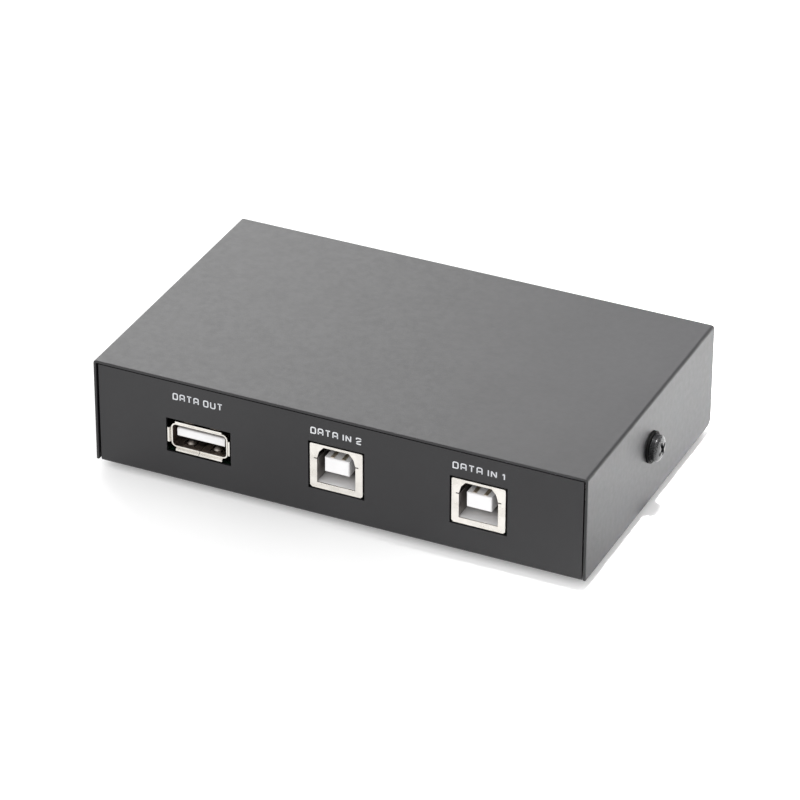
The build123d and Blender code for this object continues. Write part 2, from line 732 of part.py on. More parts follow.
with BuildPart() as switch_housing:
    # a moulded box on the board, open at the button's end
    with BuildSketch(Plane.XZ.offset(-housing_front_y)):
        with Locations((0, (board_top_z + roof_z) / 2)):
            Rectangle(2 * housing_half, roof_z - board_top_z)
    extrude(amount=housing_length)
    fillet(switch_housing.edges().filter_by(Axis.Y).group_by(Axis.Z)[-1], housing_edge)
    with BuildSketch(Plane.XZ.offset(-housing_front_y)):
        with Locations((0, switch_z)):
            Rectangle(2 * cavity_half, 2 * cavity_half)
    extrude(amount=housing_length - housing_wall, mode=Mode.SUBTRACT)
    with BuildSketch(Plane.XY.offset(switch_z)):
        with Locations((0, latch_tip_y)):
            SlotOverall(latch_slot_length, latch_wire + 2 * latch_slot_gap, rotation=90)
        with Locations((0, latch_heel_y + latch_wire / 2)):
            SlotOverall(2 * latch_wire + 2 * fit_gap, latch_wire + 2 * fit_gap, rotation=90)
    extrude(amount=2 * housing_half, mode=Mode.SUBTRACT)
    add(switch_terminals.part, mode=Mode.SUBTRACT)
switch_housing.part.label = "switch_housing"
export_step(switch_housing.part, "parts/switch_housing.step")

with BuildPart() as switch_frame:
    # a folded metal frame holds the plunger in: a front plate, two side arms and two board legs
    with BuildSketch(Plane.XZ.offset(-frame_y)):
        with Locations((0, (board_top_z + roof_z) / 2)):
            Rectangle(2 * housing_half + 2 * frame_sheet, roof_z - board_top_z)
        with Locations((0, switch_z)):
            Rectangle(neck_size + 2 * slide_clearance, neck_size + 2 * slide_clearance, mode=Mode.SUBTRACT)
    extrude(amount=frame_sheet)
    for side in (-1, 1):
        with BuildSketch(Plane.YZ.offset(side * (housing_half + frame_sheet / 2))):
            with Locations((frame_y - frame_arm / 2, switch_z)):
                Rectangle(frame_arm, housing_half)
            with Locations((frame_leg_y, (switch_z + board_top_z) / 2)):
                Rectangle(leg_shoulder, switch_z - board_top_z)
            with Locations((frame_leg_y, (board_top_z + board_bottom_z - pin_stub) / 2)):
                Rectangle(leg_width, board_thickness + pin_stub)
        extrude(amount=frame_sheet / 2, both=True)
switch_frame.part.label = "switch_frame"
export_step(switch_frame.part, "parts/switch_frame.step")

# the moving pieces are drawn with the button out
with BuildPart() as bridge_clips:
    clip_y = contact_middle_y + button_travel / 2
    for side in (-1, 1):
        with BuildSketch(Plane.YZ.offset(side * plunger_half)):
            with Locations((clip_y, switch_z)):
                RectangleRounded(button_travel + terminal_width, clip_height, clip_corner)
        extrude(amount=-side * clip_thickness)
bridge_clips.part.label = "bridge_clips"
export_step(bridge_clips.part, "parts/bridge_clips.step")

with BuildPart() as switch_plunger:
    with BuildSketch(Plane.XZ.offset(-plunger_front_y)):
        with Locations((0, switch_z)):
            Rectangle(2 * plunger_half, 2 * plunger_half)
    extrude(amount=plunger_front_y - plunger_rear_y)
    with BuildSketch(Plane.XZ.offset(-plunger_front_y)):
        with Locations((0, switch_z)):
            Rectangle(neck_size, neck_size)
    extrude(amount=-(cap_rear_y + socket_depth - plunger_front_y))
    with BuildSketch(Plane.XZ.offset(-plunger_rear_y)):
        with Locations((0, switch_z)):
            Circle(spring_bore_radius)
    extrude(amount=-spring_bore_depth, mode=Mode.SUBTRACT)
    # heart-cam groove in the top, long enough for the whole stroke
    with BuildSketch(Plane.XY.offset(switch_z + plunger_half)):
        with Locations((0, latch_tip_y + button_travel / 2)):
            SlotOverall(button_travel + latch_groove_width + latch_wire, latch_groove_width, rotation=90)
    extrude(amount=-latch_groove_depth, mode=Mode.SUBTRACT)
    add(bridge_clips.part, mode=Mode.SUBTRACT)
switch_plunger.part.label = "switch_plunger"
export_step(switch_plunger.part, "parts/switch_plunger.step")

with BuildPart() as button_cap:
    with BuildSketch(Plane.XZ.offset(-cap_rear_y)):
        with Locations((0, switch_z)):
            RectangleRounded(button_size, button_size, button_corner)
    extrude(amount=-button_length)
    fillet(button_cap.faces().sort_by(Axis.Y)[-1].edges(), button_edge)
    with Locations((0, button_front_y + dish_radius - dish_depth, switch_z)):
        Sphere(dish_radius, mode=Mode.SUBTRACT)
    with BuildSketch(Plane.XZ.offset(-(rear_y - sheet - flange_gap))):
        with Locations((0, switch_z)):
            RectangleRounded(flange_size, flange_size, button_corner)
    extrude(amount=flange_thickness)
    with BuildSketch(Plane.XZ.offset(-cap_rear_y)):
        with Locations((0, switch_z)):
            Rectangle(neck_size + 2 * socket_clearance, neck_size + 2 * socket_clearance)
    extrude(amount=-socket_depth, mode=Mode.SUBTRACT)
button_cap.part.label = "button_cap"
export_step(button_cap.part, "parts/button_cap.step")

with BuildPart() as switch_spring:
    coil_length = spring_front_y - cavity_rear_y - spring_wire
    with BuildLine() as coil:
        Helix(
            spring_pitch,
            coil_length,
            spring_radius,
            center=(0, cavity_rear_y + spring_wire / 2, switch_z),
            direction=(0, 1, 0),
        )
    with BuildSketch(Plane(coil.line @ 0, z_dir=coil.line % 0)):
        Circle(spring_wire / 2)
    sweep(is_frenet=True)
switch_spring.part.label = "switch_spring"
export_step(switch_spring.part, "parts/switch_spring.step")
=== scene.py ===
# %% [markdown]
# # A two-way sharing switch
# A small desktop box of folded steel. Along one long side sit a flat data outlet and two
# square data inlets. The other long side has the push button that picks an inlet.
# The solid model comes ready from the frame. This lesson gives it its finish: powder coat,
# plated metal, moulded plastic, printed captions, softened edges and studio light.

import json
import math

import bmesh
import bpy
import numpy as np
from mathutils import Matrix, Vector


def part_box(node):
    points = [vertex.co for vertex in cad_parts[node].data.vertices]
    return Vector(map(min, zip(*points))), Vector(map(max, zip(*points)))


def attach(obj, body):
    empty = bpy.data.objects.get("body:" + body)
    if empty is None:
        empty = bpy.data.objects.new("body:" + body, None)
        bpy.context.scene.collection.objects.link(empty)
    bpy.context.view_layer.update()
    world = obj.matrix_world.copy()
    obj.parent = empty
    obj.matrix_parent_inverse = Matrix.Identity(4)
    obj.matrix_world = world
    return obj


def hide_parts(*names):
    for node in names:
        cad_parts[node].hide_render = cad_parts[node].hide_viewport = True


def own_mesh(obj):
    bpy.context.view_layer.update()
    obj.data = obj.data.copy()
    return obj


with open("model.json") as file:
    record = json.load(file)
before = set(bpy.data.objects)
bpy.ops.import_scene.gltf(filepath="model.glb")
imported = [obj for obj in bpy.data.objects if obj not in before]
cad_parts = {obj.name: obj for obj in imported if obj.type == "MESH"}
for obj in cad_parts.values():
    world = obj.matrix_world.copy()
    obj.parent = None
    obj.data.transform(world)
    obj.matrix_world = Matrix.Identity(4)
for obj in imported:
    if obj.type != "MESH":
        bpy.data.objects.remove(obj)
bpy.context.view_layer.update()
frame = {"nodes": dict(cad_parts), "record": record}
MM = 0.001
cover_low, cover_high = (np.array(corner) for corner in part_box("top_cover"))
panel_low, panel_high = (np.array(corner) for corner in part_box("chassis"))
print("case size in mm:", np.round((cover_high - cover_low) / MM, 2))

# %% [markdown]
# ## The camera
# A long lens from about a metre away keeps the case's edges nearly parallel, as product
# pictures have them. The camera stands on a sphere round the case's middle: azimuth turns it
# to the right of the port panel, elevation lifts it, and a small slide sideways and down
# centres the case. Its three axes are worked out as vectors, so nothing has to be aimed.

# %% Place the camera
AZIMUTH = math.radians(24.865)
ELEVATION = math.radians(30.722)
ROLL = math.radians(0.182)
DISTANCE = 0.94716
LENS = 201.69
SLIDE = (-1.244 * MM, -1.757 * MM)

back = Vector((
    math.sin(AZIMUTH) * math.cos(ELEVATION),
    -math.cos(AZIMUTH) * math.cos(ELEVATION),
    math.sin(ELEVATION),
))
level_right = Vector((math.cos(AZIMUTH), math.sin(AZIMUTH), 0))
level_up = back.cross(level_right)
right = math.cos(ROLL) * level_right + math.sin(ROLL) * level_up
up = -math.sin(ROLL) * level_right + math.cos(ROLL) * level_up
middle = Vector((cover_low + cover_high) / 2)

camera_data = bpy.data.cameras.new("camera")
camera_data.lens = LENS
camera_data.sensor_width = 36
camera_data.clip_start = 0.01
camera = bpy.data.objects.new("camera", camera_data)
bpy.context.collection.objects.link(camera)
place = Matrix((right, up, back)).transposed().to_4x4()
place.translation = middle + DISTANCE * back + SLIDE[0] * right + SLIDE[1] * up
camera.matrix_world = place
bpy.context.scene.camera = camera
print("camera stands at", [round(value, 3) for value in place.translation])

# %% [markdown]
# ## Studio
# Black paint shows mostly what it mirrors, so a bright, even tent round the object matters
# more than any single lamp. The world is the tent. A wide softbox behind lights the roof, and
# one in front lifts the port panel a little. A third, high above the right, only lights the
# floor beside the case: the side wall mirrors that bright floor. The floor is a pale light
# table that glows a little.

# %% Floor, tent and softboxes
def softbox(name, position, size, power, aim, spread=180):
    """A square area lamp at position that looks at aim, and that the camera doesn't see."""
    lamp_data = bpy.data.lights.new(name, "AREA")
    lamp_data.shape = "SQUARE"
    lamp_data.size = size
    lamp_data.energy = power
    lamp_data.spread = math.radians(spread)
    lamp = bpy.data.objects.new(name, lamp_data)
    bpy.context.collection.objects.link(lamp)
    lamp.location = position
    direction = Vector(aim) - Vector(position)
    lamp.rotation_euler = direction.to_track_quat("-Z", "Y").to_euler()
    lamp.visible_camera = False


scene = bpy.context.scene
scene.view_settings.view_transform = "Standard"
world = bpy.data.worlds.new("tent")
world.use_nodes = True
world.node_tree.nodes["Background"].inputs["Color"].default_value = (1, 1, 1, 1)
world.node_tree.nodes["Background"].inputs["Strength"].default_value = 1.0
scene.world = world

softbox("rear_softbox", (-0.47, 0.60, 0.42), 0.5, 3.15, middle)
softbox("right_softbox", (0.225, 0.165, 0.80), 0.38, 1.22, (0.225, 0.165, 0), spread=9)
softbox("front_softbox", (-0.30, -0.95, 0.75), 0.7, 3.0, middle)

FLOOR_REACH = 4
floor_mesh = bpy.data.meshes.new("floor")
floor_corners = [
    (side_x * FLOOR_REACH, side_y * FLOOR_REACH, 0)
    for side_x, side_y in ((-1, -1), (1, -1), (1, 1), (-1, 1))
]
floor_mesh.from_pydata(floor_corners, [], [(0, 1, 2, 3)])
floor = bpy.data.objects.new("floor", floor_mesh)
bpy.context.collection.objects.link(floor)

# %% [markdown]
# ## Finishes
# Every finish starts from the same three ingredients, read in object coordinates so that a
# pattern stays put on its piece: noise that shifts the colour, noise that shifts the
# roughness, and noise that raises the surface. What differs is their size and strength.

# %% Helpers for finishes
def new_finish(name):
    """An empty material with its shader, and its object coordinates."""
    finish = bpy.data.materials.new(name)
    finish.use_nodes = True
    tree = finish.node_tree
    coordinates = tree.nodes.new("ShaderNodeTexCoord").outputs["Object"]
    return finish, tree, tree.nodes["Principled BSDF"], coordinates


def noise(tree, coordinates, feature, detail=2.0, stretch=(1, 1, 1)):
    """Noise whose features are about `feature` metres wide, times stretch along each axis."""
    mapping = tree.nodes.new("ShaderNodeMapping")
    mapping.inputs["Scale"].default_value = [1 / (feature * s) for s in stretch]
    tree.links.new(coordinates, mapping.inputs["Vector"])
    texture = tree.nodes.new("ShaderNodeTexNoise")
    texture.inputs["Scale"].default_value = 1.0
    texture.inputs["Detail"].default_value = detail
    tree.links.new(mapping.outputs["Vector"], texture.inputs["Vector"])
    return texture.outputs["Fac"]


def tint(tree, shader, factor, dark, light, low=0.35, high=0.65):
    """Base colour that runs from dark to light as the factor goes from low to high."""
    ramp = tree.nodes.new("ShaderNodeValToRGB")
    ramp.color_ramp.elements[0].position = low
    ramp.color_ramp.elements[0].color = (*dark, 1)
    ramp.color_ramp.elements[1].position = high
    ramp.color_ramp.elements[1].color = (*light, 1)
    tree.links.new(factor, ramp.inputs["Fac"])
    tree.links.new(ramp.outputs["Color"], shader.inputs["Base Color"])


def gloss(tree, shader, factor, smooth, rough):
    """Roughness that runs from smooth to rough with the factor."""
    spread = tree.nodes.new("ShaderNodeMapRange")
    spread.inputs["From Min"].default_value = 0.3
    spread.inputs["From Max"].default_value = 0.7
    spread.inputs["To Min"].default_value = smooth
    spread.inputs["To Max"].default_value = rough
    tree.links.new(factor, spread.inputs["Value"])
    tree.links.new(spread.outputs["Result"], shader.inputs["Roughness"])


def raise_surface(tree, shader, layers):
    """Bump from several noises, each a pair of factor and height in metres."""
    previous = None
    for factor, height in layers:
        bump = tree.nodes.new("ShaderNodeBump")
        bump.inputs["Distance"].default_value = height
        tree.links.new(factor, bump.inputs["Height"])
        if previous:
            tree.links.new(previous, bump.inputs["Normal"])
        previous = bump.outputs["Normal"]
    tree.links.new(previous, shader.inputs["Normal"])


def paint_shade_inward(tree, shader, at, start, end, dark):
    """Painted shade: multiply the base colour by a share that falls from 1 to dark between two Y places.
    """
    places = tree.nodes.new("ShaderNodeSeparateXYZ")
    tree.links.new(at, places.inputs["Vector"])
    share = tree.nodes.new("ShaderNodeMapRange")
    share.interpolation_type = "SMOOTHSTEP"
    share.inputs["From Min"].default_value = start
    share.inputs["From Max"].default_value = end
    share.inputs["To Min"].default_value = 1.0
    share.inputs["To Max"].default_value = dark
    tree.links.new(places.outputs["Y"], share.inputs["Value"])
    colour_link = shader.inputs["Base Color"].links[0]
    product = tree.nodes.new("ShaderNodeVectorMath")
    product.operation = "SCALE"
    tree.links.new(colour_link.from_socket, product.inputs["Vector"])
    tree.links.new(share.outputs["Result"], product.inputs["Scale"])
    tree.links.new(product.outputs["Vector"], shader.inputs["Base Color"])


# %% [markdown]
# ### Powder coat
# The case is dusted with dry paint and baked. The powder melts into a skin that is never quite
# flat: a fine grain under half a millimetre wide, over slower ripples like orange peel.

# %% Powder coat
def powder_coat():
    """Near-black paint with a fine grain over slower ripples."""
    finish, tree, shader, at = new_finish("powder_coat")
    grain = noise(tree, at, 0.35 * MM, detail=1.0)
    ripple = noise(tree, at, 1.4 * MM)
    drift = noise(tree, at, 22 * MM, detail=3.0)
    tint(tree, shader, drift, (0.0095, 0.009, 0.0105), (0.0125, 0.012, 0.0135))
    gloss(tree, shader, ripple, 0.42, 0.46)
    raise_surface(tree, shader, [(ripple, 0.003 * MM), (grain, 0.007 * MM)])
    return finish


# %% [markdown]
# ### Plated metal
# Port shells are punched from nickel-plated sheet. Punching leaves faint lines along the
# strip, so the noise is stretched along X, and the plating dulls a little in patches.

# %% Plated and drawn metals
def plated_metal(name, dark, light, smooth, rough, line_height):
    """Metal whose colour and roughness drift in patches, with faint lines along X."""
    finish, tree, shader, at = new_finish(name)
    shader.inputs["Metallic"].default_value = 1.0
    lines = noise(tree, at, 0.09 * MM, detail=2.0, stretch=(14, 1, 1))
    patches = noise(tree, at, 2.5 * MM, detail=3.0)
    tint(tree, shader, patches, dark, light)
    gloss(tree, shader, patches, smooth, rough)
    raise_surface(tree, shader, [(lines, line_height)])
    return finish


# %% [markdown]
# ### Moulded plastic and rubber
# Moulds are spark-eroded, which prints a fine matt grain on the part. The same recipe, with
# other colours and grain, gives the white insulators, the black button, the rubber feet, the
# printed ink, and the black oxide on the screws and washers.

# %% Moulded finishes
def moulded(name, dark, light, smooth, rough, grain_size, grain_height, painted_shade=None):
    """Plastic, rubber, ink or black oxide: a fine raised grain and a slow drift of colour. If given,
    painted_shade darkens the colour inward as painted shade.
    """
    finish, tree, shader, at = new_finish(name)
    grain = noise(tree, at, grain_size, detail=2.0)
    drift = noise(tree, at, 6 * MM, detail=2.0)
    tint(tree, shader, drift, dark, light)
    gloss(tree, shader, grain, smooth, rough)
    raise_surface(tree, shader, [(grain, grain_height)])
    if painted_shade:
        paint_shade_inward(tree, shader, at, *painted_shade)
    return finish


# %% [markdown]
# ### Circuit board
# Under the green mask the copper shows as slightly lighter runs. Stretched, blocky cells
# (Voronoi with straight distances) look like runs of track and fill. The mask's green is painted
# near black: painted shade for the board seen in the gaps round the ports.

# %% Circuit board laminate
def board_laminate():
    """Green mask painted near black as painted shade, over blocky runs of copper."""
    finish, tree, shader, at = new_finish("board_laminate")
    mapping = tree.nodes.new("ShaderNodeMapping")
    mapping.inputs["Scale"].default_value = (160, 420, 1)
    tree.links.new(at, mapping.inputs["Vector"])
    cells = tree.nodes.new("ShaderNodeTexVoronoi")
    cells.distance = "CHEBYCHEV"
    cells.inputs["Scale"].default_value = 1.0
    tree.links.new(mapping.outputs["Vector"], cells.inputs["Vector"])
    # painted shade: both colours are far darker than a lit green mask
    tint(tree, shader, cells.outputs["Distance"], (0.001, 0.005, 0.003), (0.002, 0.010, 0.005), 0.28, 0.34)
    weave = noise(tree, at, 0.5 * MM)
    gloss(tree, shader, weave, 0.28, 0.4)
    raise_surface(tree, shader, [(weave, 0.006 * MM)])
    return finish


# %% Give each slot its finish
finishes = {
    "case_paint": powder_coat(),
    "foot_rubber": moulded(
        "foot_rubber", (0.015, 0.015, 0.016), (0.026, 0.026, 0.027), 0.6, 0.8, 0.3 * MM, 0.012 * MM
    ),
    "black_hardware": moulded(
        "black_hardware", (0.008, 0.008, 0.009), (0.016, 0.016, 0.017), 0.24, 0.34, 0.3 * MM, 0.002 * MM
    ),
    "zinc_steel": plated_metal(
        "zinc_steel", (0.52, 0.53, 0.55), (0.66, 0.66, 0.66), 0.22, 0.36, 0.004 * MM
    ),
    "standoff_brass": plated_metal(
        "standoff_brass", (0.62, 0.44, 0.17), (0.76, 0.57, 0.26), 0.2, 0.34, 0.004 * MM
    ),
    "board_laminate": board_laminate(),
    "port_nickel": plated_metal(
        "port_nickel", (0.74, 0.71, 0.66), (0.86, 0.83, 0.78), 0.24, 0.34, 0.003 * MM
    ),
    "port_plastic": moulded(
        "port_plastic", (0.79, 0.78, 0.785), (0.84, 0.835, 0.84), 0.32, 0.42, 0.15 * MM, 0.002 * MM,
        # painted shade: the white plastic darkens from 3.2 mm to 7.5 mm behind the port panel's front
        painted_shade=(panel_low[1] + 3.2 * MM, panel_low[1] + 7.5 * MM, 0.08),
    ),
    "contact_gold": plated_metal(
        "contact_gold", (0.66, 0.58, 0.45), (0.78, 0.70, 0.58), 0.52, 0.62, 0.002 * MM
    ),
    "switch_plastic": moulded(
        "switch_plastic", (0.02, 0.02, 0.02), (0.035, 0.035, 0.036), 0.42, 0.55, 0.2 * MM, 0.006 * MM
    ),
    "button_plastic": moulded(
        "button_plastic", (0.022, 0.022, 0.024), (0.034, 0.034, 0.036), 0.4, 0.52, 0.22 * MM, 0.010 * MM
    ),
    "spring_steel": plated_metal(
        "spring_steel", (0.42, 0.42, 0.43), (0.55, 0.55, 0.55), 0.2, 0.32, 0.002 * MM
    ),
}
slot_of = {row["node"]: row["material_slot"] for row in frame["record"]["subparts"]}
for node, solid in frame["nodes"].items():
    solid.data.materials.clear()
    solid.data.materials.append(finishes[slot_of[node]])
print(len(finishes), "finishes on", len(frame["nodes"]), "nodes")

# %% [markdown]
# ### Painted shade in the ports
# Part of the shade inside a port is painted into its finishes. The metal behind the front is
# a darker, painted-shade copy of the same metal in front, and the outlet's dimples have a
# duller copy, rougher and painted darker. The white plastic gets darker inward as well: painted
# shade that the painted_shade argument of its own finish sets.

# %% Painted-shade metals, and washers
def set_shader(finish, socket, value):
    """Give one socket of a finish's shader a single value."""
    finish.node_tree.nodes["Principled BSDF"].inputs[socket].default_value = value


# painted-shade copies of the port metal, for the faces inside the ports
outlet_shaded_metal = plated_metal(
    "outlet_shaded_metal", (0.20, 0.16, 0.14), (0.36, 0.30, 0.26), 0.34, 0.46, 0.003 * MM
)
dimple_shaded_metal = plated_metal(
    "dimple_shaded_metal", (0.30, 0.27, 0.25), (0.40, 0.37, 0.34), 0.50, 0.60, 0.002 * MM
)
inlet_shaded_metal = plated_metal(
    "inlet_shaded_metal", (0.30, 0.28, 0.27), (0.42, 0.40, 0.38), 0.42, 0.52, 0.003 * MM
)
washer_black = moulded(
    "washer_black", (0.003, 0.003, 0.003), (0.006, 0.006, 0.006), 0.55, 0.65, 0.3 * MM, 0.002 * MM
)
set_shader(washer_black, "Specular IOR Level", 0.05)
set_shader(finishes["black_hardware"], "Specular IOR Level", 0.4)

# %% Floor finish
floor_finish, _, floor_shader, _ = new_finish("pale_floor")
floor_shader.inputs["Base Color"].default_value = (0.86, 0.86, 0.86, 1)
floor_shader.inputs["Roughness"].default_value = 0.9
floor_shader.inputs["Emission Color"].default_value = (1, 1, 1, 1)
floor_shader.inputs["Emission Strength"].default_value = 0.21
floor_mesh.materials.append(floor_finish)

# %% [markdown]
# ## Softened edges
# No real edge is perfectly sharp: sheet metal has a burr that is tumbled off, and plastic
# comes from a mould with rounded corners. A thin bevel catches the light along each edge.
# Flat areas of the solid model are cut into triangles, so a copy is merged and its flat
# areas joined first, or the bevel would have stray corners to deal with.

# %% Copy a node with softened edges
node_body = {
    node: body for body, members in frame["record"]["behaviour"]["bodies"].items() for node in members
}


MERGE_DISTANCE = 0.0005 * MM
BEVEL_ANGLE = math.radians(35)
FLAT_ANGLE = math.radians(0.5)


def soften(node, width, face_finishes=()):
    """A copy of a node with every edge sharper than BEVEL_ANGLE bevelled to width metres.

    Each of the face finishes is a finish and a test: the faces that pass the test get that finish. Inside
    the ports they put on painted shade.
    """
    mesh = frame["nodes"][node].data.copy()
    work = bmesh.new()
    work.from_mesh(mesh)
    bmesh.ops.remove_doubles(work, verts=work.verts, dist=MERGE_DISTANCE)
    bmesh.ops.dissolve_limit(work, angle_limit=FLAT_ANGLE, verts=work.verts, edges=work.edges)
    work.to_mesh(mesh)
    work.free()
    if "custom_normal" in mesh.attributes:
        mesh.attributes.remove(mesh.attributes["custom_normal"])
    mesh.polygons.foreach_set("use_smooth", np.ones(len(mesh.polygons), dtype=bool))
    for finish, belongs in face_finishes:
        mesh.materials.append(finish)
        for face in mesh.polygons:
            if belongs(face):
                face.material_index = len(mesh.materials) - 1
    piece = bpy.data.objects.new(f"{node}_finished", mesh)
    bpy.context.collection.objects.link(piece)
    bevel = piece.modifiers.new("edges", "BEVEL")
    bevel.width = width
    bevel.segments = 2
    bevel.limit_method = "ANGLE"
    bevel.angle_limit = BEVEL_ANGLE
    bevel.harden_normals = True
    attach(piece, node_body[node])
    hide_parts(node)
    return piece


port_front = panel_low[1] / MM
LIP_DEPTH = 0.8
PLATE_DEPTH = 0.4
LARGEST_DIMPLE_FACE = 0.3


# These tests pick the port faces that get a painted-shade metal.
def inside_outlet(face):
    """The outlet's walls past the flared lips."""
    return face.center.y / MM > port_front + LIP_DEPTH


def outlet_dimple(face):
    """Small faces past the lips: the round dimples are cut into many of them."""
    return inside_outlet(face) and face.area / MM**2 < LARGEST_DIMPLE_FACE


def inside_inlet(face):
    """Everything behind the inlet's front plate."""
    return face.center.y / MM > port_front + PLATE_DEPTH


def everywhere(face):
    """Every face."""
    return True


outlet_shade_finishes = [(outlet_shaded_metal, inside_outlet), (dimple_shaded_metal, outlet_dimple)]
inlet_shade_finishes = [(inlet_shaded_metal, inside_inlet)]
softened = {
    "chassis": (0.10, []),
    "outlet_shell": (0.05, outlet_shade_finishes),
    "outlet_insulator": (0.06, []),
    "inlet_shell_1": (0.07, inlet_shade_finishes),
    "inlet_shell_2": (0.07, inlet_shade_finishes),
    "inlet_insulator_1": (0.08, []),
    "inlet_insulator_2": (0.08, []),
    "cover_washer_left": (0.06, [(washer_black, everywhere)]),
    "cover_washer_right": (0.06, [(washer_black, everywhere)]),
}
for node, (width, face_finishes) in softened.items():
    piece = soften(node, width * MM, face_finishes)
    print(piece.name, len(piece.data.polygons), "faces before the bevel")

# %% [markdown]
# ## The button's spring
# The coil spring sits between the switch housing and the plunger. As the button goes in by
# its full travel, the spring gets shorter by about the same length, towards its fixed end.
# Here it gets softened edges and a mesh of its own.

# %% The spring, softened
spring = soften("switch_spring", 0.02 * MM)
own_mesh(spring)

# %% [markdown]
# ## Cover screws
# The screws that hold the cover have a domed head with grooved sides and a cross recess. The
# head is turned, so its surface is a profile carried round the screw's axis. The recess is
# pressed in: its depth depends on how far a point lies inside the cross.

# %% Turn the screw heads
DOME_SHARE = 0.54
DOME_POWER = 0.84
DOME_STEPS = 64
ROUND_STEPS = 144
SHANK_RADIUS = 1.48 * MM
SHANK_TIP = 0.4 * MM
BAR_HALF_WIDTH = 0.46 * MM
BAR_REACH = 1.70 * MM
BAR_SLOPE = 0.12 * MM
RECESS_DEPTH = 1.15 * MM
RECESS_TURN = 0.4
SEAM_TURN = math.radians(22)
RING_PROFILE = [
    (1.00, 0.42), (0.96, 0.40), (0.96, 0.38), (1.00, 0.36), (1.00, 0.27), (0.96, 0.25),
    (0.96, 0.23), (1.00, 0.21), (1.00, 0.04), (0.98, 0.02), (0.93, 0.0),
]


def closed_mesh(name, points, faces, finish, merge):
    """A mesh with its seams merged and its faces turned outward."""
    mesh = bpy.data.meshes.new(name)
    mesh.from_pydata(points, [], faces)
    work = bmesh.new()
    work.from_mesh(mesh)
    bmesh.ops.remove_doubles(work, verts=work.verts, dist=merge)
    bmesh.ops.recalc_face_normals(work, faces=work.faces)
    work.to_mesh(mesh)
    work.free()
    mesh.materials.append(finish)
    return mesh


def head_profile(radius, height, length):
    """The turned outline, as distances from the axis and heights above the washer.

    The dome is r(t) = radius * sin(t)^p and h(t) = height - d * (1 - cos(t)^p), where d is the
    dome's height. With p under 1 it is squarer than an ellipse. Grooved sides and shank follow.
    """
    t = np.linspace(0, math.pi / 2, DOME_STEPS)
    dome_height = DOME_SHARE * height
    around = list(radius * np.sin(t) ** DOME_POWER)
    above = list(height - dome_height * (1 - np.cos(t) ** DOME_POWER))
    around += [share * radius for share, _ in RING_PROFILE]
    above += [share * height for _, share in RING_PROFILE]
    around += [SHANK_RADIUS, SHANK_RADIUS, SHANK_RADIUS - SHANK_TIP, 0.0]
    above += [0.0, SHANK_TIP - length, -length, -length]
    return np.array(around), np.array(above)


def turned_head(side):
    """A screw on the case's side wall: round(s, t) turns a profile, less the recess.

    s runs from the middle of the dome, over the grooved side and the shank, to the shank's end.
    t is the angle round the axis. The cross recess lowers the dome: its depth is full inside
    two crossed bars and falls to nothing over a short slope at their edges.
    """
    low, high = (np.array(corner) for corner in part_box(f"cover_washer_{side}"))
    head_low, head_high = (np.array(corner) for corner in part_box(f"cover_screw_{side}"))
    outward = 1 if side == "right" else -1
    seat_x = high[0] if side == "right" else low[0]
    axis_y, axis_z = (low[1:] + high[1:]) / 2
    radius = (head_high[1] - head_low[1]) / 2
    height = (head_high[0] - seat_x) if side == "right" else (seat_x - head_low[0])
    profile_r, profile_h = head_profile(radius, height, head_high[0] - head_low[0] - height)

    turns = np.linspace(0, 2 * math.pi, ROUND_STEPS, endpoint=False) + SEAM_TURN
    across = profile_r[:, None] * np.cos(turns)
    along = profile_r[:, None] * np.sin(turns)
    inside_one = np.minimum(BAR_HALF_WIDTH - abs(across), BAR_REACH - abs(along))
    inside_other = np.minimum(BAR_HALF_WIDTH - abs(along), BAR_REACH - abs(across))
    inside = np.clip(np.maximum(inside_one, inside_other) / BAR_SLOPE, 0, 1)
    is_dome = (np.arange(len(profile_r)) < DOME_STEPS)[:, None]
    rise = profile_h[:, None] - np.where(is_dome, inside * RECESS_DEPTH, 0)

    points = np.stack([
        seat_x + outward * rise,
        axis_y + across * math.cos(RECESS_TURN) - along * math.sin(RECESS_TURN),
        axis_z + across * math.sin(RECESS_TURN) + along * math.cos(RECESS_TURN),
    ], axis=-1)
    rows, columns = points.shape[:2]
    index = np.arange(rows * columns).reshape(rows, columns)
    beside = np.roll(index, -1, axis=1)
    faces = np.stack([index[:-1], index[1:], beside[1:], beside[:-1]], axis=-1).reshape(-1, 4)
    mesh = closed_mesh(
        f"screw_head_{side}", points.reshape(-1, 3).tolist(), faces.tolist(),
        finishes["black_hardware"], MERGE_DISTANCE,
    )
    mesh.polygons.foreach_set("use_smooth", np.ones(len(mesh.polygons), dtype=bool))
    mesh.set_sharp_from_angle(angle=math.radians(40))
    head = bpy.data.objects.new(f"screw_head_{side}", mesh)
    bpy.context.collection.objects.link(head)
    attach(head, "case")
    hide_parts(f"cover_screw_{side}")
    print(head.name, "is", round(2 * radius / MM, 2), "mm wide,", len(mesh.polygons), "faces")


for side in ("left", "right"):
    turned_head(side)

# %% [markdown]
# ## Printed captions
# The captions are screen-printed in white: flat letters a few hundredths of a millimetre
# thick. The lettering is wide and square with rounded corners. Each letter is one or more
# strokes in a unit cell, and each stroke is a flat ribbon carried along its line.

# %% Letter strokes
LETTERS = {
    "D": (1.0, [[(0, 0), (0, 1), (1, 1), (1, 0), (0, 0)]]),
    "A": (1.0, [[(0, 0), (0, 1), (1, 1), (1, 0)], [(0, 0.38), (1, 0.38)]]),
    "T": (1.0, [[(0, 1), (1, 1)], [(0.5, 1), (0.5, 0)]]),
    "O": (1.0, [[(0.5, 0), (0, 0), (0, 1), (1, 1), (1, 0), (0.5, 0)]]),
    "U": (1.0, [[(0, 1), (0, 0), (1, 0), (1, 1)]]),
    "I": (0.0, [[(0, 0), (0, 1)]]),
    "N": (1.0, [[(0, 0), (0, 1), (1, 0), (1, 1)]]),
    "1": (0.35, [[(0, 0.72), (0.35, 1), (0.35, 0)]]),
    "2": (1.0, [[(0, 0.74), (0, 1), (1, 1), (1, 0.60), (0, 0.32), (0, 0), (1, 0)]]),
}


